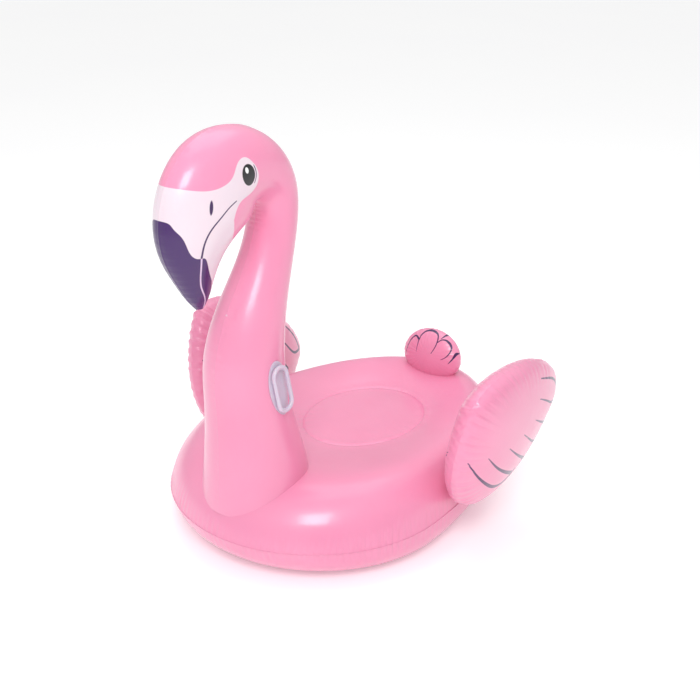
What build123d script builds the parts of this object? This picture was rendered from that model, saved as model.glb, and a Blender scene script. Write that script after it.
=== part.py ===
from build123d import *
import math
import os

# Inflatable ride-on pool float in the shape of a long-necked bird.
# Frame: +Z up, the bird looks along -Y, its left side is +X. The origin is on the floor,
# under the middle of the float's overall box. All sizes are in millimetres.

os.makedirs("parts", exist_ok=True)

# ---------------------------------------------------------------- driving dimensions

WALL = 2.0                 # modelled thickness of the film (the real vinyl is about 0.3)
WELD_GAP = 0.4             # clearance where a pillow is welded onto another one
WIDEST_Y = -107.0          # line across the body at its widest

BODY_HALF_WIDTH = 500.0
BODY_FRONT = 492.0         # from the widest line to the breast
BODY_REAR = 856.0          # from the widest line to the rump
WELD_HEIGHT = 130.0        # outer weld between top and bottom film
SEAT_CENTRE_Y = 240.0      # seat centre, behind the widest line
SEAT_HALF_WIDTH = 300.0
SEAT_HALF_LENGTH = 330.0
SEAT_RIM_HEIGHT = 230.0

# Ring section: (share of the way from the outer weld in to the seat rim, height)
RING_TOP = [(0, WELD_HEIGHT), (0.05, 182), (0.17, 240), (0.36, 284), (0.55, 298),
            (0.74, 288), (0.90, 260), (1.0, SEAT_RIM_HEIGHT)]
RING_BOTTOM = [(0, WELD_HEIGHT), (0.045, 84), (0.13, 42), (0.25, 13), (0.40, 0)]
RING_UNDERSIDE = [(0.60, 0), (0.72, 26), (0.84, 86), (0.93, 158), (1.0, SEAT_RIM_HEIGHT - 2.4)]

# Seat cushion: (share of the rim ellipse, height)
SEAT_TOP = [(1.0, SEAT_RIM_HEIGHT - 2), (0.94, 237), (0.78, 243), (0.45, 247), (0.1, 248)]
SEAT_FLOOR = [(1.0, SEAT_RIM_HEIGHT - 2), (0.97, 204), (0.87, 165), (0.66, 131), (0.36, 114), (0.1, 110)]

# Neck, head and beak: (y behind the widest line, z, lean of the section, depth radius, width radius)
NECK = [(-292, 150, 0, 178, 186), (-294, 320, 0, 165, 168), (-321, 540, 0, 133, 136),
        (-325, 700, -6, 125, 124), (-287, 830, -18, 106, 107), (-228, 960, -22, 85, 87),
        (-188, 1080, -12, 76, 80), (-194, 1215, 35, 78, 88), (-272, 1290, 88, 106, 98),
        (-402, 1280, 130, 151, 105), (-487, 1150, 172, 153, 94), (-513, 1060, 186, 98, 70),
        (-514, 985, 184, 57, 46), (-507, 930, 181, 28, 25), (-503, 908, 180, 12, 11)]

# Pillow section: (share of the outline, share of the half thickness)
PILLOW = [(1.0, 0), (0.965, 0.26), (0.88, 0.475), (0.72, 0.694), (0.46, 0.888), (0.14, 0.99)]
PILLOW_SLIDE = 0.85          # how far the crown lies towards the middle of the outline

WING_REACH = (318.0, 313.0, 129.0, 389.0)    # rear, front, top, bottom
WING_DEPTH = 96.0
# Centre from the middle of the widest line; degrees: top leans out, rear end turns out, rear end rises
LEFT_WING_POSE = ((603.0, 266.0, 513.0), 13.5, -4.1, -13.2)
RIGHT_WING_POSE = ((592.0, 305.0, 402.0), 7.6, 4.3, -33.0)     # soft, and sagged a little lower

TAIL_CENTRE = (0.0, 690.0, 345.0)
TAIL_LEAN = 12.0
TAIL_REACH = (127.0, 127.0, 105.0, 85.0)     # left, right, top, bottom
TAIL_DEPTH = 48.0

HANDLE_CENTRE = (-310.0, 620.0)          # y behind the widest line, z
HANDLE_TILT = 9.0                        # the lower end lies further back
HANDLE_LEAN = 4.3                        # the upper end lies nearer the middle, as the neck does
HANDLE_LENGTH = 184.0
HANDLE_WIDTH = 88.0
HANDLE_THICKNESS = 3.2
GRIP_STRAIGHT = 90.0
GRIP_BEND = 28.0
GRIP_ROD = 7.0
GRIP_PLANE_X = 142.8                     # centre of the rod from the middle plane

# Inflation valve, seen along its axis
FLANGE_RADIUS = 22.0
FLANGE_THICKNESS = 3.0
STEM_RADIUS = 7.9
STEM_BORE = 4.5
STEM_DEPTH = 16.0
STEM_RIM = 2.0
LIP_RADIUS = 10.5
LIP_BASE = 0.4
RUNNING_GAP = 0.4
FLAP_RADIUS = 5.5
FLAP_THICKNESS = 1.0
CAP_RADIUS = 9.0
CAP_BASE = 2.4
CAP_TOP = 4.8
PLUG_LENGTH = 6.0
PLUG_RADII = (4.1, 2.5)
STRAP_WIDTH = 6.0
HINGE_X = 12.0
HINGE_Z = 3.9
HINGE_RADIUS = 1.4


# ---------------------------------------------------------------- helpers

def four_arc_outline(plane, right, left, top, bottom, share=1.0, shrink=0.0):
    """Closed oval of four quarter ellipses that meet on the plane's axes."""
    reach = [share * size - shrink for size in (right, top, left, bottom)]
    arcs = []
    for quarter in range(4):
        along, across = reach[quarter], reach[(quarter + 1) % 4]
        x_radius, y_radius = (along, across) if quarter % 2 == 0 else (across, along)
        arcs.append(plane * EllipticalCenterArc((0, 0), x_radius, y_radius, 90 * quarter, arc_size=90))
    return Wire(arcs)


def ring_outline(share, height):
    """Level outline of the body: the outer egg blended towards the seat's rim ellipse."""
    width = BODY_HALF_WIDTH * (1 - share) + SEAT_HALF_WIDTH * share
    front = BODY_FRONT * (1 - share) + SEAT_HALF_LENGTH * share
    rear = BODY_REAR * (1 - share) + SEAT_HALF_LENGTH * share
    level = Plane(origin=(0, WIDEST_Y + SEAT_CENTRE_Y * share, height))
    return four_arc_outline(level, width, width, rear, front)


def seat_outline(share, height):
    level = Plane(origin=(0, WIDEST_Y + SEAT_CENTRE_Y, height))
    radius, length = SEAT_HALF_WIDTH - WELD_GAP, SEAT_HALF_LENGTH - WELD_GAP
    return four_arc_outline(level, radius, radius, length, length, share)


def offset_section(section, distance, share_length):
    """Move a (share, height) section sideways: to its right when walked from first to last."""
    moved = []
    for index, (share, height) in enumerate(section):
        before = section[max(index - 1, 0)]
        after = section[min(index + 1, len(section) - 1)]
        run, rise = (after[0] - before[0]) * share_length, after[1] - before[1]
        length = math.hypot(run, rise)
        moved.append((share + distance * rise / length / share_length, height - distance * run / length))
    return moved


def loft_section(section, outline):
    return Solid.make_loft([outline(share, height) for share, height in section])


def save(name, shape):
    solids = shape.solids()
    export_step(solids[0] if len(solids) == 1 else Compound(children=list(solids)), f"parts/{name}.step")


# ---------------------------------------------------------------- body ring

SIDE_RING_WIDTH = BODY_HALF_WIDTH - SEAT_HALF_WIDTH


def ring_solid(grow=0.0):
    """The space that the inflated ring fills above its weld, with the seat hollow open."""
    return loft_section(offset_section(RING_TOP, -grow, SIDE_RING_WIDTH), ring_outline)


def lower_ring_solid(grow=0.0):
    return loft_section(offset_section(RING_BOTTOM, grow, SIDE_RING_WIDTH), ring_outline)


def body_top_panel():
    inside = offset_section(RING_TOP, WALL, SIDE_RING_WIDTH)
    inside[0] = (inside[0][0], WELD_HEIGHT - 1)
    film = ring_solid() - loft_section(inside, ring_outline)
    seat_hole = Solid.extrude(Face(ring_outline(1.0, SEAT_RIM_HEIGHT - 20)), Vector(0, 0, 60))
    return film - seat_hole


def body_bottom_panel():
    inside = offset_section(RING_BOTTOM, -WALL, SIDE_RING_WIDTH)
    inside[0] = (inside[0][0], WELD_HEIGHT + 1)
    inside[-1] = (inside[-1][0], WALL)
    bowl = lower_ring_solid() - loft_section(inside, ring_outline)
    land_inner_share = RING_UNDERSIDE[0][0]
    land_hole = Solid.extrude(Face(ring_outline(land_inner_share, -1)), Vector(0, 0, WALL + 2))
    underside = loft_section(RING_UNDERSIDE, ring_outline)
    thickened = [(share - WALL / SIDE_RING_WIDTH, height) for share, height in RING_UNDERSIDE]
    inner_wall = loft_section(thickened, ring_outline) - underside
    return (bowl - land_hole) + inner_wall


# ---------------------------------------------------------------- seat cushion

def seat_film(section, side):
    """One film of the seat cushion; side is 1 above the rim weld and -1 below it."""
    weld = section[0][1]
    inside = [(share - WALL / SEAT_HALF_WIDTH, height - side * WALL) for share, height in section]
    inside[0] = (inside[0][0], weld - side)
    return loft_section(section, seat_outline) - loft_section(inside, seat_outline)


# ---------------------------------------------------------------- neck, head and beak

def neck_section_plane(station, slide=0.0):
    """Plane of a section across the neck's path; slide moves it along the path."""
    y, z, lean = station[:3]
    angle = math.radians(lean)
    ahead = Vector(0, -math.sin(angle), math.cos(angle))
    return Plane(origin=Vector(0, y + WIDEST_Y, z) + ahead * slide, x_dir=(1, 0, 0), z_dir=ahead)


def neck_outline(station, grow=0.0):
    depth, width = station[3] + grow, station[4] + grow
    return four_arc_outline(neck_section_plane(station), width, width, depth, depth)


def neck_solid(grow=0.0):
    return Solid.make_loft([neck_outline(station, grow) for station in NECK])


def neck_half_outline(station, grow=0.0, slide=0.0, past_middle=0.0):
    """Left half of a neck section, closed in the middle plane or a little past it."""
    width, depth = station[4] + grow, station[3] + grow
    across = neck_section_plane(station, slide)
    edges = [across * EllipticalCenterArc((0, 0), width, depth, 90 * quarter, arc_size=90) for quarter in (-1, 0)]
    corners = [(0, depth), (-past_middle, depth), (-past_middle, -depth), (0, -depth)]
    if not past_middle:
        corners = [corners[0], corners[3]]
    edges += [across * Line(*pair) for pair in zip(corners, corners[1:])]
    return Wire(edges)


def neck_left_film():
    outside = Solid.make_loft([neck_half_outline(station) for station in NECK])
    slides = [-1] + [0] * (len(NECK) - 2) + [-WALL]
    inside = [neck_half_outline(station, -WALL, slide, WALL) for station, slide in zip(NECK, slides)]
    return outside - Solid.make_loft(inside)


# ---------------------------------------------------------------- wings and tail

def wing_plane(pose):
    """Weld plane of a wing on the left: X runs to the rear, Y up the wing, Z away from the body."""
    middle, *angles = pose
    lean, yaw, tilt = (math.radians(angle) for angle in angles)
    rearward = Vector(math.sin(yaw), math.cos(yaw), 0)
    outward = Vector(math.cos(yaw), -math.sin(yaw), 0)
    upward = Vector(0, 0, 1) * math.cos(lean) + outward * math.sin(lean)
    along = rearward * math.cos(tilt) + upward * math.sin(tilt)
    return Plane(origin=Vector(*middle) + Vector(0, WIDEST_Y, 0), x_dir=along,
                 z_dir=rearward.cross(upward))


def tail_plane():
    """Weld plane of the tail: X across, Y up the tail, Z forwards."""
    lean = math.radians(TAIL_LEAN)
    centre = Vector(*TAIL_CENTRE) + Vector(0, WIDEST_Y, 0)
    return Plane(origin=centre, x_dir=(1, 0, 0), z_dir=(0, -math.cos(lean), math.sin(lean)))


def crown_shift(plane, reach, share=0.0):
    """From the crossing of the outline's axes to the middle of the section with this share."""
    slide = PILLOW_SLIDE * (1 - share) / 2
    return plane.x_dir * ((reach[0] - reach[1]) * slide) + plane.y_dir * ((reach[2] - reach[3]) * slide)


def pillow_film(plane, reach, depth, side):
    """One film of a two-film pillow, bulging to the plane's side 1 or -1 of the weld."""
    outer, inner = [], []
    for share, rise in PILLOW:
        centre = plane.origin + crown_shift(plane, reach, share)
        section = Plane(origin=centre, x_dir=plane.x_dir, z_dir=plane.z_dir)
        outer.append(four_arc_outline(section.offset(side * depth * rise), *reach, share))
        inner_height = (depth - WALL) * rise if rise else -1
        inner.append(four_arc_outline(section.offset(side * inner_height), *reach, share, WALL))
    return Solid.make_loft(outer) - Solid.make_loft(inner)


# ---------------------------------------------------------------- grab handles

def handle_plane():
    """Middle plane of the left handle's grip: X up the grip, Z out from the neck."""
    y, z = HANDLE_CENTRE
    tilt, lean = math.radians(HANDLE_TILT), math.radians(HANDLE_LEAN)
    outward = Vector(math.cos(lean), 0, math.sin(lean))
    upward = Vector(-math.sin(lean), -math.sin(tilt), math.cos(tilt) * math.cos(lean))
    return Plane(origin=(GRIP_PLANE_X, y + WIDEST_Y, z), x_dir=upward - outward * upward.dot(outward),
                 z_dir=outward)


def handle_base():
    """Oval flange that hugs the neck's side."""
    oval = handle_plane() * Ellipse(HANDLE_LENGTH / 2, HANDLE_WIDTH / 2)
    block = extrude(oval, GRIP_PLANE_X / 2, dir=(-1, 0, 0))
    return (block & neck_solid(WELD_GAP + HANDLE_THICKNESS)) - neck_solid(WELD_GAP)


def handle_grip():
    """Rod bent into a long loop."""
    plane = handle_plane()
    path = plane * SlotOverall(GRIP_STRAIGHT + 2 * GRIP_BEND, 2 * GRIP_BEND).wire()
    start = path @ 0
    section = Plane(origin=start, z_dir=path % 0) * Circle(GRIP_ROD)
    return sweep(section, path=path)


# ---------------------------------------------------------------- air valves

def wing_valve_plane(pose):
    """Valve on the crown of a left wing's inner film."""
    wing = wing_plane(pose)
    crown = wing.origin + crown_shift(wing, WING_REACH) - wing.z_dir * (WING_DEPTH - 1)
    return Plane(origin=crown, x_dir=wing.x_dir, z_dir=-wing.z_dir)


def mirrored(plane):
    """The same plane on the right side of the float."""
    origin, x_dir, z_dir = (Vector(-v.X, v.Y, v.Z) for v in (plane.origin, plane.x_dir, plane.z_dir))
    return Plane(origin=origin, x_dir=x_dir, z_dir=z_dir)


def valve_planes():
    """Where the valves sit: the origin is on the film and Z points out of the chamber."""
    tail = tail_plane()
    tail_crown = tail.origin + crown_shift(tail, TAIL_REACH) - tail.z_dir * (TAIL_DEPTH - 1)
    return {
        "body": Plane(origin=(0, 831 + WIDEST_Y, 214), x_dir=(1, 0, 0), z_dir=(0, 0.88, 0.475)),
        "seat": Plane(origin=(0, SEAT_CENTRE_Y + WIDEST_Y, 110), x_dir=(1, 0, 0), z_dir=(0, 0, -1)),
        "neck": Plane(origin=(-79.2, -201 + WIDEST_Y, 450), x_dir=(0.8, 0.6, 0), z_dir=(-0.6, 0.8, 0)),
        "left_wing": wing_valve_plane(LEFT_WING_POSE),
        "right_wing": mirrored(wing_valve_plane(RIGHT_WING_POSE)),
        "tail": Plane(origin=tail_crown, x_dir=(-1, 0, 0), z_dir=-tail.z_dir),
    }


def cylinder(radius, low, high):
    return Pos(0, 0, (low + high) / 2) * Cylinder(radius, high - low)


def valve_flange():
    return cylinder(FLANGE_RADIUS, -FLANGE_THICKNESS, 0) - cylinder(STEM_RADIUS + RUNNING_GAP, -10, 10)


def valve_stem():
    tube = cylinder(STEM_RADIUS, -STEM_DEPTH, STEM_RIM) + cylinder(LIP_RADIUS, LIP_BASE, STEM_RIM)
    tab_length = HINGE_X + HINGE_RADIUS
    tab_height = STEM_RIM - LIP_BASE
    tab = Pos(tab_length / 2, 0, LIP_BASE + tab_height / 2) * Box(tab_length, STRAP_WIDTH, tab_height)
    return tube + tab - cylinder(STEM_BORE, -STEM_DEPTH - 1, STEM_RIM + 1)


def valve_flap():
    top = -STEM_DEPTH - RUNNING_GAP
    return cylinder(FLAP_RADIUS, top - FLAP_THICKNESS, top)


def valve_stopper():
    cap = cylinder(CAP_RADIUS, CAP_BASE, CAP_TOP)
    plug = Pos(0, 0, CAP_BASE - PLUG_LENGTH / 2) * Cone(PLUG_RADII[1], PLUG_RADII[0], PLUG_LENGTH)
    strap_height = 1.4
    strap = Pos(HINGE_X / 2 + 2, 0, HINGE_Z) * Box(HINGE_X - 4, STRAP_WIDTH, strap_height)
    barrel = Pos(HINGE_X, 0, HINGE_Z) * Rot(90, 0, 0) * Cylinder(HINGE_RADIUS, STRAP_WIDTH)
    return cap + plug + strap + barrel


VALVE_PIECES = {"flange": valve_flange, "stem": valve_stem, "flap": valve_flap, "stopper": valve_stopper}


# ---------------------------------------------------------------- build

def build_parts():
    panels = {"body_top_panel": body_top_panel(), "body_bottom_panel": body_bottom_panel(),
              "seat_top_panel": seat_film(SEAT_TOP, 1), "seat_floor_panel": seat_film(SEAT_FLOOR, -1)}
    ring_space = ring_solid(WELD_GAP)
    lower_space = lower_ring_solid(WELD_GAP)

    panels["neck_left_panel"] = neck_left_film() - ring_space
    panels["neck_right_panel"] = mirror(panels["neck_left_panel"], about=Plane.YZ)

    for name, side in (("outer", 1), ("inner", -1)):
        left = pillow_film(wing_plane(LEFT_WING_POSE), WING_REACH, WING_DEPTH, side)
        right = pillow_film(wing_plane(RIGHT_WING_POSE), WING_REACH, WING_DEPTH, side)
        panels[f"left_wing_{name}_panel"] = left - ring_space - lower_space
        panels[f"right_wing_{name}_panel"] = mirror(right - ring_space - lower_space, about=Plane.YZ)

    for name, side in (("front", 1), ("back", -1)):
        panels[f"tail_{name}_panel"] = pillow_film(tail_plane(), TAIL_REACH, TAIL_DEPTH, side) - ring_space

    chamber_film = {"body": "body_top_panel", "seat": "seat_floor_panel", "neck": "neck_right_panel",
                    "left_wing": "left_wing_inner_panel", "right_wing": "right_wing_inner_panel",
                    "tail": "tail_back_panel"}
    parts = {}
    for chamber, plane in valve_planes().items():
        hole = plane * cylinder(FLANGE_RADIUS + RUNNING_GAP, -15, 15)
        panels[chamber_film[chamber]] = panels[chamber_film[chamber]] - hole
        for piece, make in VALVE_PIECES.items():
            parts[f"{chamber}_valve_{piece}"] = plane * make()

    for name, make in (("base", handle_base), ("grip", handle_grip)):
        piece = make()
        parts[f"left_handle_{name}"] = piece
        parts[f"right_handle_{name}"] = mirror(piece, about=Plane.YZ)
    return {**panels, **parts}


for node, solid in build_parts().items():
    save(node, solid)
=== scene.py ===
import math

import bpy
import numpy as np
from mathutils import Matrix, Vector


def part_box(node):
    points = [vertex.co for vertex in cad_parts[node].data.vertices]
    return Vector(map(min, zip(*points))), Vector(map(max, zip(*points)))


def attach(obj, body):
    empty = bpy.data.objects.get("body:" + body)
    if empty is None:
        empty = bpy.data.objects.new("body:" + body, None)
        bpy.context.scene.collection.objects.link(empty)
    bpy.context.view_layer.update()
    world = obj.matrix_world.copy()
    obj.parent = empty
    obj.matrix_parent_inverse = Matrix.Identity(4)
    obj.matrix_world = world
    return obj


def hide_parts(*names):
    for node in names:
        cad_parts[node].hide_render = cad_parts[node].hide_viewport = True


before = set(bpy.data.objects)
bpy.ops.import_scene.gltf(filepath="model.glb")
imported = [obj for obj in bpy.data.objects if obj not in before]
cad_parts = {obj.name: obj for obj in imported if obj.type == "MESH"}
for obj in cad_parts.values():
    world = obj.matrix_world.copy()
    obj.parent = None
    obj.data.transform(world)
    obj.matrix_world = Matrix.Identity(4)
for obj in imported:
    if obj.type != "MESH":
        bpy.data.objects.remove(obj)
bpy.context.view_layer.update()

SEED = 7

# ---------------------------------------------------------------- sizes, in metres, from the frame

BODY_LOW, BODY_HIGH = (np.array(corner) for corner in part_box("body_bottom_panel"))
SEAT_LOW, SEAT_HIGH = (np.array(corner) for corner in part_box("seat_top_panel"))
BODY_HALF_WIDTH = (BODY_HIGH[0] - BODY_LOW[0]) / 2
WIDEST_Y = BODY_LOW[1] + 0.492           # the line across the body where it is widest
BODY_FRONT = WIDEST_Y - BODY_LOW[1]
BODY_REAR = BODY_HIGH[1] - WIDEST_Y
WELD_HEIGHT = 0.130
SEAT_CENTRE_Y = (SEAT_LOW[1] + SEAT_HIGH[1]) / 2 - WIDEST_Y
SEAT_HALF_WIDTH = (SEAT_HIGH[0] - SEAT_LOW[0]) / 2
SEAT_HALF_LENGTH = (SEAT_HIGH[1] - SEAT_LOW[1]) / 2

# Seam of the seat cushion in the deck, well inside the cushion's own rim
SEAM_CENTRE_Y = 0.272
SEAM_HALF_WIDTH = 0.198
SEAM_HALF_LENGTH = 0.246

# Ring section: share of the way in from the outer weld, and height
DECK = [(0, WELD_HEIGHT), (0.033, 0.182), (0.113, 0.240), (0.24, 0.284), (0.37, 0.298),
        (0.50, 0.295), (0.66, 0.284), (0.82, 0.270), (0.94, 0.260), (0.985, 0.2565), (1.0, 0.2540)]
RING_BOTTOM = [(0, WELD_HEIGHT), (0.045, 0.084), (0.13, 0.042), (0.25, 0.013), (0.40, 0.0005)]
RING_UNDERSIDE = [(0.60, 0.0005), (0.72, 0.026), (0.84, 0.086), (0.93, 0.158), (1.0, 0.2275)]
SEAT_TOP = [(1.0, 0.2540), (0.975, 0.2562), (0.90, 0.2572), (0.70, 0.2580), (0.40, 0.2585),
            (0.0, 0.2586)]
SEAT_FLOOR = [(1.0, 0.228), (0.97, 0.204), (0.87, 0.165), (0.66, 0.131), (0.36, 0.114), (0.0, 0.110)]

# Ripples at a weld: spacing, height, and how far they reach into the film
OUTER_PUCKERS = (0.024, 0.0026, 0.05)
SEAT_PUCKERS = (0.045, 0.0011, 0.030)
NECK_PUCKER_SPACING = 0.022

# The same at a pillow's weld: spacing and height
WING_PUCKERS = (0.036, 0.0042)
TAIL_PUCKERS = (0.026, 0.0018)

# Welded edge of the ring: how far it stands out, its overlap with the film, and its thickness
LIP_WIDTH = 0.0016
LIP_OVERLAP = 0.004
LIP_THICKNESS = 0.0012
LIP_WOBBLE_HEIGHT = 0.0008
LIP_WOBBLE_SPACING = 0.026

# Film round a valve, by distance from the valve's axis
VALVE_HOLE_RADIUS = 0.0175
VALVE_SLOPE_END = 0.045
VALVE_SLOPE_WIDTH = 0.022
VALVE_DEPTH = 0.05

# Neck, head and beak: y behind the widest line, z, lean of the section, depth and width radius
NECK = [(-0.292, 0.200, 0, 0.176, 0.184), (-0.294, 0.320, 0, 0.165, 0.168),
        (-0.321, 0.540, 0, 0.133, 0.136), (-0.325, 0.700, -6, 0.125, 0.124),
        (-0.287, 0.830, -18, 0.106, 0.107), (-0.228, 0.960, -22, 0.085, 0.087),
        (-0.188, 1.080, -12, 0.076, 0.080), (-0.194, 1.215, 35, 0.078, 0.088),
        (-0.272, 1.290, 88, 0.106, 0.098), (-0.402, 1.280, 130, 0.151, 0.105),
        (-0.487, 1.150, 172, 0.153, 0.094), (-0.513, 1.060, 186, 0.098, 0.070),
        (-0.514, 0.985, 184, 0.057, 0.046), (-0.507, 0.930, 181, 0.028, 0.025),
        (-0.503, 0.908, 180, 0.012, 0.011)]

# Pillow section: share of the outline, share of the half thickness
PILLOW = [(1.0, 0.0), (0.965, 0.26), (0.88, 0.475), (0.72, 0.694), (0.46, 0.888), (0.14, 0.99), (0.0, 1.0)]
PILLOW_SLIDE = 0.85                          # how far the crown lies towards the middle of the outline
WING_REACH = (0.318, 0.129, 0.313, 0.389)    # rear, top, front, bottom
WING_DEPTH = 0.096
# Centre from the middle of the widest line; degrees: top leans out, rear end turns out, rear end rises
LEFT_WING_POSE = ((0.603, 0.266, 0.513), 13.5, -4.1, -13.2)
RIGHT_WING_POSE = ((0.592, 0.305, 0.402), 7.6, 4.3, -33.0)
TAIL_CENTRE = (0.0, 0.690, 0.345)
TAIL_LEAN = 12.0
TAIL_REACH = (0.127, 0.105, 0.127, 0.085)
TAIL_DEPTH = 0.048


# ---------------------------------------------------------------- curves and meshes

def spline(points, count, spacing=None):
    """Natural cubic spline through rows of points, sampled count times along its chord length."""
    points = np.asarray(points, float)
    knots = np.concatenate([[0], np.cumsum(np.linalg.norm(np.diff(points[:, :2], axis=0), axis=1))])
    knots /= knots[-1]
    steps = np.diff(knots)
    size = len(points)
    matrix, rhs = np.eye(size), np.zeros_like(points)
    for row in range(1, size - 1):
        before, after = steps[row - 1], steps[row]
        matrix[row, row - 1:row + 2] = before, 2 * (before + after), after
        rhs[row] = 6 * ((points[row + 1] - points[row]) / after - (points[row] - points[row - 1]) / before)
    bend = np.linalg.solve(matrix, rhs)
    where = np.linspace(0, 1, count) if spacing is None else spacing
    index = np.clip(np.searchsorted(knots, where, side="right") - 1, 0, size - 2)
    step = steps[index][:, None]
    left = (knots[index + 1] - where)[:, None] / step
    right = 1 - left
    return (left * points[index] + right * points[index + 1]
            + ((left ** 3 - left) * bend[index] + (right ** 3 - right) * bend[index + 1]) * step ** 2 / 6)


def grid_faces(rows, columns, wrap_rows=False):
    """Four-sided faces of a grid of points that is closed round its columns."""
    last_row = rows if wrap_rows else rows - 1
    i, j = np.meshgrid(np.arange(last_row), np.arange(columns), indexing="ij")
    i, j = i.ravel(), j.ravel()
    i2, j2 = (i + 1) % rows, (j + 1) % columns
    return np.stack([i * columns + j, i * columns + j2, i2 * columns + j2, i2 * columns + j], axis=1)


def add_mesh(name, points, faces, material, fields=None):
    mesh = bpy.data.meshes.new(name)
    mesh.from_pydata(points.reshape(-1, 3).tolist(), [], [list(map(int, face)) for face in faces])
    mesh.update()
    for field, values in (fields or {}).items():
        attribute = mesh.attributes.new(field, "FLOAT", "POINT")
        attribute.data.foreach_set("value", np.asarray(values, np.float32).ravel())
    mesh.polygons.foreach_set("use_smooth", [True] * len(mesh.polygons))
    mesh.materials.append(material)
    piece = bpy.data.objects.new(name, mesh)
    bpy.context.scene.collection.objects.link(piece)
    return piece


def fit_valve(points, faces, chamber):
    """Draw the film level with a valve's flange and leave a round hole under it."""
    flange = np.array([vertex.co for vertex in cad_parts[f"{chamber}_valve_flange"].data.vertices])
    centre = (flange.min(axis=0) + flange.max(axis=0)) / 2
    axis = np.linalg.svd(flange - flange.mean(axis=0), full_matrices=False)[2][2]
    height = (points - centre) @ axis
    radius = np.linalg.norm(points - centre - height[:, None] * axis, axis=1)
    near = np.abs(height) < VALVE_DEPTH
    pull = np.clip((VALVE_SLOPE_END - radius) / VALVE_SLOPE_WIDTH, 0, 1) * near
    level = points - axis * (height * pull ** 2 * (3 - 2 * pull))[:, None]
    under = (radius < VALVE_HOLE_RADIUS) & near
    return level, [face for face in faces if not under[list(face)].all()]


def grid_normals(points):
    """Normals of a grid of points that is closed round its columns."""
    along = np.gradient(points, axis=0)
    around = (np.roll(points, -1, axis=1) - np.roll(points, 1, axis=1)) / 2
    normals = np.cross(along, around)
    length = np.linalg.norm(normals, axis=2, keepdims=True)
    return normals / np.maximum(length, 1e-12)


def smooth_wave(position, spacing, seed, length):
    """Uneven ripples along a closed weld of the given length: about one crest per spacing."""
    random = np.random.default_rng(seed)
    crests = max(3, int(length / spacing))
    phase = 2 * np.pi * position / length
    warp = sum(random.normal() * np.sin(k * phase + random.uniform(0, 6.28)) / k for k in (2, 3, 5, 9, 14))
    swell = 0.62 + 0.38 * np.sin(7 * phase + 2 * warp) * np.sin(11 * phase + random.uniform(0, 6.28))
    ridge = np.sin(crests * phase + 3.0 * warp)
    fine = np.sin(2.3 * crests * phase + 4.0 * warp + 1.0)
    return swell * (0.75 * ridge + 0.25 * fine)


# ---------------------------------------------------------------- materials

def value_noise(nodes, links, scale, detail, low, high):
    texture = nodes.new("ShaderNodeTexNoise")
    texture.inputs["Scale"].default_value = scale
    texture.inputs["Detail"].default_value = detail
    spread = nodes.new("ShaderNodeMapRange")
    spread.inputs["From Min"].default_value = 0.3
    spread.inputs["From Max"].default_value = 0.7
    spread.inputs["To Min"].default_value = low
    spread.inputs["To Max"].default_value = high
    coordinates = nodes.new("ShaderNodeTexCoord")
    links.new(coordinates.outputs["Object"], texture.inputs["Vector"])
    links.new(texture.outputs["Fac"], spread.inputs["Value"])
    return spread.outputs["Result"]


def mix_colour(nodes, links, factor, first, second):
    mix = nodes.new("ShaderNodeMix")
    mix.data_type = "RGBA"
    links.new(factor, mix.inputs["Factor"])
    for socket, colour in ((mix.inputs["A"], first), (mix.inputs["B"], second)):
        if isinstance(colour, tuple):
            socket.default_value = (*colour, 1)
        else:
            links.new(colour, socket)
    return mix.outputs["Result"]


def print_mask(nodes, links, field, edge=0.0008):
    """1 where the signed distance in the mesh's field is below zero, with a soft printed edge."""
    attribute = nodes.new("ShaderNodeAttribute")
    attribute.attribute_name = field
    ramp = nodes.new("ShaderNodeMapRange")
    ramp.interpolation_type = "SMOOTHSTEP"
    ramp.inputs["From Min"].default_value = -edge
    ramp.inputs["From Max"].default_value = edge
    ramp.inputs["To Min"].default_value = 1
    ramp.inputs["To Max"].default_value = 0
    links.new(attribute.outputs["Fac"], ramp.inputs["Value"])
    return ramp.outputs["Result"]


def vinyl(name, colour, deep, prints=(), roughness=(0.28, 0.35), coat=0.45, glow=0.10):
    """Soft pearly vinyl film; prints are (field, colour) laid over the base in order."""
    material = bpy.data.materials.new(name)
    material.use_nodes = True
    nodes, links = material.node_tree.nodes, material.node_tree.links
    shader = nodes["Principled BSDF"]
    tone = mix_colour(nodes, links, value_noise(nodes, links, 3.0, 2, 0, 1), colour, deep)
    for field, ink in prints:
        tone = mix_colour(nodes, links, print_mask(nodes, links, field), tone, ink)
    links.new(tone, shader.inputs["Base Color"])
    links.new(value_noise(nodes, links, 9.0, 3, *roughness), shader.inputs["Roughness"])
    shader.inputs["Coat Weight"].default_value = coat
    shader.inputs["Coat Roughness"].default_value = 0.16
    shader.inputs["Sheen Weight"].default_value = 0.03
    shader.inputs["Sheen Roughness"].default_value = 0.4
    shader.inputs["Subsurface Weight"].default_value = glow
    shader.inputs["Subsurface Radius"].default_value = (0.03, 0.012, 0.016)
    shader.inputs["IOR"].default_value = 1.48
    bump = nodes.new("ShaderNodeBump")
    bump.inputs["Strength"].default_value = 0.12
    bump.inputs["Distance"].default_value = 0.002
    links.new(value_noise(nodes, links, 38.0, 4, 0, 1), bump.inputs["Height"])
    links.new(bump.outputs["Normal"], shader.inputs["Normal"])
    return material


PINK = (0.86, 0.31, 0.48)
DEEP_PINK = (0.82, 0.27, 0.44)
FACE_WHITE = (0.80, 0.67, 0.74)
BEAK_PURPLE = (0.045, 0.004, 0.110)
LINE_PURPLE = (0.045, 0.008, 0.085)
PALE_LILAC = (0.72, 0.52, 0.72)
EYE_BLACK = (0.006, 0.005, 0.008)

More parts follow.
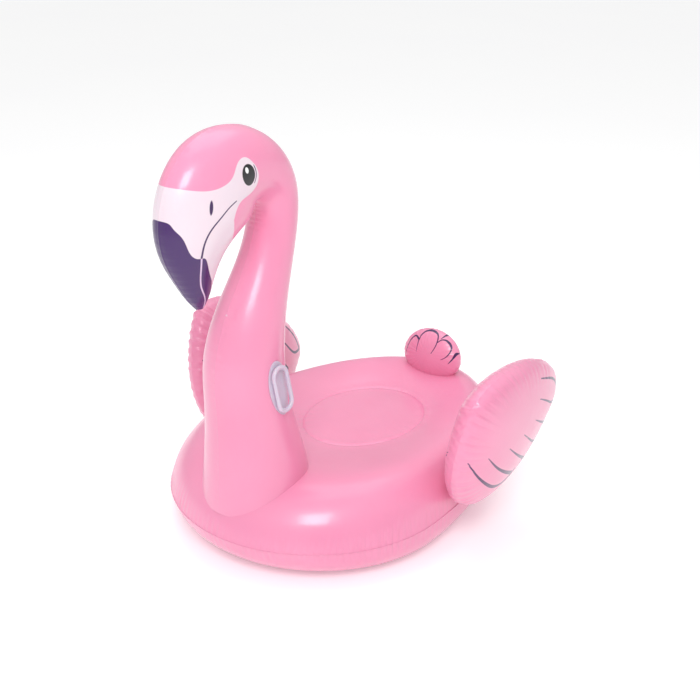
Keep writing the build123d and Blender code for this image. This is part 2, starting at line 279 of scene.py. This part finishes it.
film_pink = vinyl("film_pink", PINK, DEEP_PINK)
film_head = vinyl("film_head", PINK, DEEP_PINK, prints=(
    ("face", FACE_WHITE), ("beak", BEAK_PURPLE), ("jaw_edge", PALE_LILAC), ("mouth", LINE_PURPLE),
    ("nostril", LINE_PURPLE), ("eye_ring", FACE_WHITE), ("eye_line", LINE_PURPLE),
    ("eye", EYE_BLACK), ("glint", (0.95, 0.95, 0.95))))
film_feathered = vinyl("film_feathered", PINK, DEEP_PINK, prints=(("feathers", LINE_PURPLE),))
handle_vinyl = vinyl("handle_vinyl", (0.66, 0.57, 0.68), (0.62, 0.53, 0.65), glow=0.4, coat=0.3)
valve_vinyl = vinyl("valve_vinyl", (0.80, 0.66, 0.74), (0.76, 0.60, 0.70), glow=0.4, coat=0.3)


# ---------------------------------------------------------------- body ring

CUSHION_RIM = (SEAT_CENTRE_Y, SEAT_HALF_WIDTH, SEAT_HALF_LENGTH)
SEAT_SEAM = (SEAM_CENTRE_Y, SEAM_HALF_WIDTH, SEAM_HALF_LENGTH)


def ring_points(section, rows, columns, inner=CUSHION_RIM):
    """Grid of points over the ring: rows along the section, columns around the body."""
    profile = spline(section, rows)
    share, height = profile[:, :1], profile[:, 1:]
    centre_y, half_width, half_length = inner
    angle = np.linspace(0, 2 * np.pi, columns, endpoint=False)[None, :]
    width = BODY_HALF_WIDTH * (1 - share) + half_width * share
    front = BODY_FRONT * (1 - share) + half_length * share
    rear = BODY_REAR * (1 - share) + half_length * share
    x = width * np.cos(angle)
    y = WIDEST_Y + centre_y * share + np.where(np.sin(angle) > 0, rear, front) * np.sin(angle)
    return np.stack([x, y, np.broadcast_to(height, x.shape)], axis=2)


def lengths_from_first_row(points):
    steps = np.linalg.norm(np.diff(points, axis=0), axis=2)
    return np.concatenate([np.zeros((1, points.shape[1])), np.cumsum(steps, axis=0)])


def weld_arc_length(points, row):
    line = points[row]
    steps = np.linalg.norm(np.roll(line, -1, axis=0) - line, axis=1)
    return np.concatenate([[0], np.cumsum(steps)[:-1]]), steps.sum()


def pucker(points, row, spacing, height, reach, seed, outward=1):
    """Ripples square to a weld at the grid's first or last row, fading away from it."""
    away = lengths_from_first_row(points if row == 0 else points[::-1])
    away = away if row == 0 else away[::-1]
    position, total = weld_arc_length(points, row)
    wave = smooth_wave(position, spacing, seed, total)
    random = np.random.default_rng(seed + 100)
    far = reach * (0.7 + 0.5 * random.random(12))
    local = np.interp(position / total * 12, np.arange(13), np.append(far, far[0]))
    fade = np.exp(-(away / local[None, :]) ** 1.5) * (1 - np.exp(-(away / 0.006) ** 2) * 0.6)
    return points + grid_normals(points) * (outward * height * wave[None, :] * fade)[..., None]


def build_body():
    columns = 900
    top = ring_points(DECK, 110, columns, SEAT_SEAM)
    top = pucker(top, 0, *OUTER_PUCKERS, SEED, outward=-1)
    top = pucker(top, -1, *SEAT_PUCKERS, SEED + 1, outward=-1)
    level, faces = fit_valve(top.reshape(-1, 3), grid_faces(*top.shape[:2])[:, ::-1], "body")
    piece = add_mesh("body_top_film", level, faces, film_pink)
    bottom = ring_points(RING_BOTTOM, 30, columns)
    bottom = pucker(bottom, 0, *OUTER_PUCKERS, SEED)
    underside = ring_points(RING_UNDERSIDE, 26, columns)
    under = np.concatenate([bottom, underside])
    lower = add_mesh("body_bottom_film", under, grid_faces(*under.shape[:2]), film_pink)
    lip = build_weld_lip("body_weld", top)
    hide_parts("body_top_panel")
    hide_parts("body_bottom_panel")
    return piece, lower, lip


def build_weld_lip(name, points):
    """Thin welded edge that stands out of the film along the grid's first row."""
    line = points[0]
    ahead = np.roll(line, -1, axis=0) - np.roll(line, 1, axis=0)
    ahead /= np.linalg.norm(ahead, axis=1, keepdims=True)
    flat = np.cross(ahead, np.array([0, 0, 1.0]))
    flat /= np.linalg.norm(flat, axis=1, keepdims=True)
    position, total = weld_arc_length(points, 0)
    wobble = LIP_WOBBLE_HEIGHT * smooth_wave(position, LIP_WOBBLE_SPACING, SEED + 3, total)
    up = np.array([0, 0, 1.0])
    corners = []
    for out, lift in ((-LIP_OVERLAP, 1), (LIP_WIDTH, 1), (LIP_WIDTH, -1), (-LIP_OVERLAP, -1)):
        corners.append(line + flat * out + up * (lift * LIP_THICKNESS / 2 + wobble[:, None]))
    grid = np.stack(corners)
    return add_mesh(name, grid, grid_faces(4, len(line), wrap_rows=True), film_pink)


# ---------------------------------------------------------------- seat cushion

def build_seat():
    columns = 420
    pieces = []
    for name, section, rim, node in (("seat_top_film", SEAT_TOP, SEAT_SEAM, "seat_top_panel"),
                                     ("seat_floor_film", SEAT_FLOOR, CUSHION_RIM, "seat_floor_panel")):
        profile = spline(section, 60)
        share, height = profile[:, :1], profile[:, 1:]
        centre_y, half_width, half_length = rim
        angle = np.linspace(0, 2 * np.pi, columns, endpoint=False)[None, :]
        x = half_width * share * np.cos(angle)
        y = WIDEST_Y + centre_y + half_length * share * np.sin(angle)
        points = np.stack([x, y, np.broadcast_to(height, x.shape)], axis=2)
        sign = -1 if section is SEAT_TOP else 1
        points = pucker(points, 0, *SEAT_PUCKERS, SEED + 1, outward=sign)
        faces = grid_faces(*points.shape[:2])
        if sign < 0:
            piece = add_mesh(name, points, faces[:, ::-1], film_pink)
        else:
            piece = add_mesh(name, *fit_valve(points.reshape(-1, 3), faces, "seat"), film_pink)
        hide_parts(node)
        pieces.append(piece)
    return pieces


# ---------------------------------------------------------------- prints, as distances in the side view

def distance_to_line(points, line, radii=(0.0, 0.0)):
    """Distance to a drawn line whose half width runs from the first radius to the last."""
    best = np.full(len(points), 1e9)
    thickness = np.linspace(*radii, len(line))
    for start, end, first, last in zip(line[:-1], line[1:], thickness[:-1], thickness[1:]):
        edge = end - start
        share = np.clip(((points - start) @ edge) / (edge @ edge), 0, 1)
        gap = np.linalg.norm(points - start - share[:, None] * edge, axis=1)
        best = np.minimum(best, gap - first - share * (last - first))
    return best


def distance_to_area(points, outline):
    """Signed distance to a closed outline, negative inside."""
    closed = np.vstack([outline, outline[:1]])
    inside = np.zeros(len(points), bool)
    for (x1, y1), (x2, y2) in zip(closed[:-1], closed[1:]):
        crosses = (y1 > points[:, 1]) != (y2 > points[:, 1])
        if y1 != y2:
            inside ^= crosses & (points[:, 0] < (x2 - x1) * (points[:, 1] - y1) / (y2 - y1) + x1)
    distance = distance_to_line(points, closed)
    return np.where(inside, -distance, distance)


def oval(points, centre, radii, lean):
    angle = math.radians(lean)
    offset = points - np.array(centre)
    across = offset[:, 0] * math.cos(angle) + offset[:, 1] * math.sin(angle)
    upward = -offset[:, 0] * math.sin(angle) + offset[:, 1] * math.cos(angle)
    return (np.hypot(across / radii[0], upward / radii[1]) - 1) * min(radii)


FACE_EDGE = [(-0.800, 1.300), (-0.708, 1.292), (-0.636, 1.279), (-0.591, 1.283), (-0.554, 1.301),
             (-0.536, 1.325), (-0.520, 1.341), (-0.497, 1.347), (-0.470, 1.328), (-0.453, 1.297),
             (-0.456, 1.262), (-0.480, 1.243), (-0.503, 1.236), (-0.526, 1.228), (-0.542, 1.210),
             (-0.552, 1.180), (-0.540, 1.120), (-0.520, 1.000), (-0.500, 0.850), (-0.800, 0.850)]
BEAK_EDGE = [(-0.800, 1.200), (-0.746, 1.205), (-0.737, 1.202), (-0.729, 1.186), (-0.717, 1.166),
             (-0.705, 1.139), (-0.696, 1.115), (-0.684, 1.098), (-0.668, 1.090), (-0.650, 1.088),
             (-0.640, 1.075), (-0.629, 1.050), (-0.616, 1.025), (-0.600, 1.000), (-0.560, 0.850),
             (-0.800, 0.850)]
MOUTH = [(-0.545, 1.234), (-0.573, 1.220), (-0.602, 1.198), (-0.632, 1.172), (-0.648, 1.149),
         (-0.656, 1.127), (-0.660, 1.092)]
JAW_LINE = [(-0.660, 1.092), (-0.654, 1.043), (-0.640, 0.990), (-0.616, 0.945), (-0.608, 0.915)]
EYE_CENTRE = (-0.492, 1.297)
NOSTRIL_CENTRE = (-0.632, 1.232)


def head_fields(points):
    side = points.reshape(-1, 3)[:, 1:]
    eye = oval(side, EYE_CENTRE, (0.025, 0.031), 12)
    wide_eye = oval(side, EYE_CENTRE, (0.035, 0.041), 12)
    arc = np.abs(oval(side, EYE_CENTRE, (0.030, 0.038), 12)) - 0.0016
    arc = np.maximum(arc, -(side[:, 0] + 0.470))
    return {
        "face": distance_to_area(side, np.vstack([spline(FACE_EDGE[:16], 120), FACE_EDGE[16:]])),
        "beak": distance_to_area(side, np.vstack([spline(BEAK_EDGE[:14], 90), BEAK_EDGE[14:]])),
        "mouth": distance_to_line(side, spline(MOUTH, 60), (0.0018, 0.0032)),
        "jaw_edge": distance_to_line(side, spline(JAW_LINE, 40), (0.0026, 0.0018)),
        "nostril": oval(side, NOSTRIL_CENTRE, (0.0055, 0.021), -8),
        "eye_ring": wide_eye, "eye_line": arc, "eye": eye,
        "glint": oval(side, (EYE_CENTRE[0] - 0.006, EYE_CENTRE[1] + 0.014), (0.006, 0.009), 12),
    }


# ---------------------------------------------------------------- neck, head and beak

def build_neck():
    rows, columns = ((800, 300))
    # A quarter of the rows for the plain neck, the rest for the head and beak
    spacing = np.concatenate([np.linspace(0, 0.55, rows // 4, endpoint=False),
                              np.linspace(0.55, 1, rows - rows // 4)])
    stations = spline(NECK, rows, spacing)
    y, z, lean, depth, width = stations.T
    lean = np.radians(lean)
    angle = np.linspace(0, 2 * np.pi, columns, endpoint=False)
    # The angle runs from the front weld round the left side to the back weld
    forward = np.stack([np.zeros(rows), -np.cos(lean), -np.sin(lean)], axis=1)
    centre = np.stack([np.zeros(rows), y + WIDEST_Y, z], axis=1)
    points = (centre[:, None, :] + forward[:, None, :] * (depth[:, None] * np.cos(angle))[..., None]
              + np.array([1.0, 0, 0]) * (width[:, None] * np.sin(angle))[..., None])
    normals = -grid_normals(points)
    weld = np.minimum(np.abs(np.sin(angle / 2)), np.abs(np.cos(angle / 2))) * 2 * width[:, None]
    along = np.concatenate([[0], np.cumsum(np.linalg.norm(np.diff(centre, axis=0), axis=1))])
    ripple = smooth_wave(along, NECK_PUCKER_SPACING, SEED + 9, along[-1] * 1.3)[:, None]
    ridge = 0.0012 * np.exp(-(weld / 0.0035) ** 2)
    swell = 0.0006 * ripple * np.exp(-(weld / 0.030) ** 1.5) * (1 - 0.7 * np.exp(-(weld / 0.005) ** 2))
    points = points + normals * (ridge + swell)[..., None]
    tip = points[-1].mean(axis=0) + np.array([0, 0, -0.004])
    flat = np.vstack([points.reshape(-1, 3), tip])
    faces = grid_faces(rows, columns)
    last = (rows - 1) * columns
    fan = [[last + j, last + (j + 1) % columns, len(flat) - 1] for j in range(columns)]
    fields = head_fields(flat)
    level, mesh_faces = fit_valve(flat, [list(face) for face in faces] + fan, "neck")
    piece = add_mesh("neck_and_head_film", level, mesh_faces, film_head, fields)
    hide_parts("neck_left_panel", "neck_right_panel")
    return piece


# ---------------------------------------------------------------- pillows: wings and tail

def pillow(chamber, centre, across, up, out, reach, depth, material, seed, fields, spacing, ripples):
    """Two welded films: rows run from the crown of one film over the weld to the crown of the other."""
    columns = 600
    rings = 90
    rear, top, front, bottom = reach
    angle = np.linspace(0, 2 * np.pi, columns, endpoint=False)
    outline = np.stack([np.where(np.cos(angle) > 0, rear, front) * np.cos(angle),
                        np.where(np.sin(angle) > 0, top, bottom) * np.sin(angle)], axis=1)
    middle = np.array([rear - front, top - bottom]) / 2
    profile = spline(PILLOW[::-1], rings)
    shares = np.concatenate([profile[:, 0], profile[-2::-1, 0]]).clip(0.012, 1)
    sides = np.concatenate([np.ones(rings), -np.ones(rings - 1)])
    lift = sides * depth * np.concatenate([profile[:, 1], profile[-2::-1, 1]])
    flat = shares[:, None, None] * outline + (PILLOW_SLIDE * (1 - shares))[:, None, None] * middle
    steps = np.linalg.norm(np.roll(outline, -1, axis=0) - outline, axis=1)
    position, total = np.concatenate([[0], np.cumsum(steps)[:-1]]), steps.sum()
    away = np.linalg.norm(flat - outline, axis=2) + np.abs(lift)[:, None]
    wave = np.where(sides[:, None] > 0, smooth_wave(position, spacing, seed, total),
                    smooth_wave(position, spacing, seed + 1, total))
    front_pull = 1.0 + 0.7 * np.clip(-np.cos(angle), -0.4, 1)
    ripple = ripples * front_pull * wave * np.exp(-(away / 0.075) ** 1.6) * np.minimum(1, away / 0.012)
    scallop = ripples * 0.6 * smooth_wave(position, spacing, seed, total) * np.exp(-(away / 0.02) ** 2)
    inward = flat - outline * 0.2
    flat = flat - inward / np.linalg.norm(inward, axis=2, keepdims=True) * scallop[..., None]
    grid = (np.array(centre) + flat[..., :1] * across + flat[..., 1:] * up + lift[:, None, None] * out)
    grid = grid + np.sign(lift + 1e-9)[:, None, None] * ripple[..., None] * out
    faces = [list(face) for face in grid_faces(*grid.shape[:2])]
    first, last = list(range(columns)), list(range((len(shares) - 1) * columns, len(shares) * columns))
    faces += [first[::-1], last]
    level, faces = fit_valve(grid.reshape(-1, 3), faces, chamber)
    return add_mesh(f"{chamber}_film", level, faces, material, fields(flat.reshape(-1, 2)))


def drawn(plane, strokes):
    best = np.full(len(plane), 1.0)
    for line, first, last in strokes:
        best = np.minimum(best, distance_to_line(plane, spline(line, 30), (first, last)))
    return {"feathers": best}


FEATHERS = [
    ([(0.050, 0.088), (0.133, 0.076), (0.220, 0.047), (0.262, 0.012)], 0.0018, 0.0062),
    ([(0.045, 0.027), (0.138, 0.002), (0.215, -0.012), (0.262, 0.012)], 0.0018, 0.0062),
    ([(0.037, -0.040), (0.103, -0.061), (0.185, -0.085)], 0.0016, 0.0060),
    ([(-0.023, -0.081), (0.027, -0.103), (0.120, -0.140), (0.190, -0.159)], 0.0016, 0.0065),
    ([(-0.096, -0.118), (-0.023, -0.152), (0.110, -0.204)], 0.0016, 0.0070),
    ([(-0.196, -0.141), (-0.126, -0.182), (-0.023, -0.224), (0.050, -0.246)], 0.0016, 0.0085),
    ([(-0.264, -0.160), (-0.204, -0.206), (-0.119, -0.253), (-0.031, -0.282), (0.030, -0.274),
      (0.062, -0.240)], 0.0016, 0.0095)]

TAIL_SCALLOPS = [
    ([(-0.046, 0.010), (-0.046, 0.047), (-0.043, 0.071), (-0.032, 0.090), (-0.013, 0.099)],
     0.0008, 0.0034),
    ([(-0.013, 0.099), (0.011, 0.098), (0.029, 0.088), (0.035, 0.068), (0.033, 0.048), (0.022, 0.020)],
     0.0034, 0.0012),
    ([(0.038, 0.066), (0.048, 0.077), (0.063, 0.079), (0.081, 0.070)], 0.0016, 0.0034),
    ([(0.081, 0.070), (0.093, 0.055), (0.091, 0.034), (0.082, 0.019), (0.066, 0.006)], 0.0034, 0.0010),
    ([(-0.103, -0.014), (-0.098, 0.012), (-0.088, 0.043), (-0.066, 0.066), (-0.047, 0.058)],
     0.0008, 0.0036),
    ([(0.094, -0.004), (0.105, 0.014), (0.113, 0.038)], 0.0008, 0.0048),
    ([(0.044, 0.080), (0.052, 0.092), (0.062, 0.108)], 0.0008, 0.0070)]


def wing_axes(pose):
    """A left wing's centre, rearward and upward axes in its weld plane, and outward normal."""
    middle, *angles = pose
    lean, yaw, tilt = (math.radians(angle) for angle in angles)
    rearward = np.array([math.sin(yaw), math.cos(yaw), 0])
    outward = np.array([math.cos(yaw), -math.sin(yaw), 0])
    upward = np.array([0, 0, 1.0]) * math.cos(lean) + outward * math.sin(lean)
    along = rearward * math.cos(tilt) + upward * math.sin(tilt)
    normal = np.cross(rearward, upward)
    return np.array(middle) + [0, WIDEST_Y, 0], along, np.cross(normal, along), normal


def build_wings():
    wings = []
    for side, mirror, pose in (("left", 1, LEFT_WING_POSE), ("right", -1, RIGHT_WING_POSE)):
        centre, along, up, normal = (axis * np.array([mirror, 1, 1]) for axis in wing_axes(pose))
        wing = pillow(f"{side}_wing", centre, along, up, normal, WING_REACH, WING_DEPTH,
                      film_feathered, SEED + 20, lambda plane: drawn(plane, FEATHERS), *WING_PUCKERS)
        if mirror < 0:
            wing.data.flip_normals()
        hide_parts(f"{side}_wing_outer_panel", f"{side}_wing_inner_panel")
        wings.append(wing)
    return wings


def build_tail():
    lean = math.radians(TAIL_LEAN)
    centre = np.array(TAIL_CENTRE) + [0, WIDEST_Y, 0]
    up = np.array([0, math.sin(lean), math.cos(lean)])
    forward = np.array([0, -math.cos(lean), math.sin(lean)])
    tail = pillow("tail", centre, np.array([1.0, 0, 0]), up, forward, TAIL_REACH, TAIL_DEPTH,
                  film_feathered, SEED + 30, lambda plane: drawn(plane, TAIL_SCALLOPS), *TAIL_PUCKERS)
    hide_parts("tail_front_panel", "tail_back_panel")
    return tail


# ---------------------------------------------------------------- build, ride and slots

body = build_body()
seat = build_seat()
neck = build_neck()
wings = build_wings()
tail = build_tail()
for piece in (*body, *seat, neck, *wings, tail):
    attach(piece, "root")

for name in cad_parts:
    cad = bpy.data.objects.get(name)
    if cad is None:
        continue
    finish = handle_vinyl if "handle" in name else valve_vinyl
    for slot in cad.material_slots:
        slot.material = finish


# ---------------------------------------------------------------- floor, light and camera

def build_stage():
    bpy.ops.mesh.primitive_plane_add(size=60, location=(0, 0, -0.0005))
    floor = bpy.context.object
    floor.name = "floor"
    material = bpy.data.materials.new("floor_white")
    material.use_nodes = True
    nodes, links = material.node_tree.nodes, material.node_tree.links
    shader = nodes["Principled BSDF"]
    links.new(mix_colour(nodes, links, value_noise(nodes, links, 0.6, 1, 0, 1), (0.92, 0.92, 0.92),
                         (0.91, 0.91, 0.915)), shader.inputs["Base Color"])
    shader.inputs["Roughness"].default_value = 0.9
    shader.inputs["Specular IOR Level"].default_value = 0.1
    shader.inputs["Emission Color"].default_value = (1, 1, 1, 1)
    shader.inputs["Emission Strength"].default_value = 0.22
    floor.data.materials.append(material)


def aim(thing, location, target):
    thing.location = location
    thing.rotation_euler = (Vector(target) - Vector(location)).to_track_quat("-Z", "Y").to_euler()
    bpy.context.scene.collection.objects.link(thing)


def add_softbox(name, location, width, height, power):
    data = bpy.data.lights.new(name, "AREA")
    data.shape = "RECTANGLE"
    data.size, data.size_y = width, height
    data.energy = power
    aim(bpy.data.objects.new(name, data), location, (0, 0, 0.5))


CAMERA_TARGET = Vector((-0.093, 0.199, 0.474))
CAMERA_AZIMUTH, CAMERA_ELEVATION, CAMERA_DISTANCE, CAMERA_LENS = 38.98, 23.72, 4.2, 60.26


def build_camera():
    azimuth, elevation = math.radians(CAMERA_AZIMUTH), math.radians(CAMERA_ELEVATION)
    back = Vector((math.sin(azimuth) * math.cos(elevation), -math.cos(azimuth) * math.cos(elevation),
                   math.sin(elevation)))
    data = bpy.data.cameras.new("camera")
    data.lens = CAMERA_LENS
    data.sensor_width = 36
    camera = bpy.data.objects.new("camera", data)
    camera.location = CAMERA_TARGET + back * CAMERA_DISTANCE
    camera.rotation_euler = (-back).to_track_quat("-Z", "Y").to_euler()
    bpy.context.scene.collection.objects.link(camera)
    bpy.context.scene.camera = camera


def build_world():
    """White studio, brighter overhead than round the sides."""
    world = bpy.data.worlds.new("studio")
    world.use_nodes = True
    nodes, links = world.node_tree.nodes, world.node_tree.links
    coordinates = nodes.new("ShaderNodeTexCoord")
    split = nodes.new("ShaderNodeSeparateXYZ")
    height = nodes.new("ShaderNodeMapRange")
    height.inputs["From Min"].default_value = 0.0
    height.inputs["From Max"].default_value = 0.8
    height.inputs["To Min"].default_value = 0.42
    height.inputs["To Max"].default_value = 0.86
    links.new(coordinates.outputs["Generated"], split.inputs["Vector"])
    links.new(split.outputs["Z"], height.inputs["Value"])
    links.new(height.outputs["Result"], nodes["Background"].inputs["Strength"])
    nodes["Background"].inputs["Color"].default_value = (1, 1, 1, 1)
    bpy.context.scene.world = world
    bpy.context.scene.view_settings.view_transform = "Standard"


build_stage()
build_camera()
build_world()
add_softbox("key", (2.2, -3.2, 4.1), 1.7, 1.7, 105)
add_softbox("sky", (-0.6, 0.6, 4.8), 3.5, 3.5, 50)
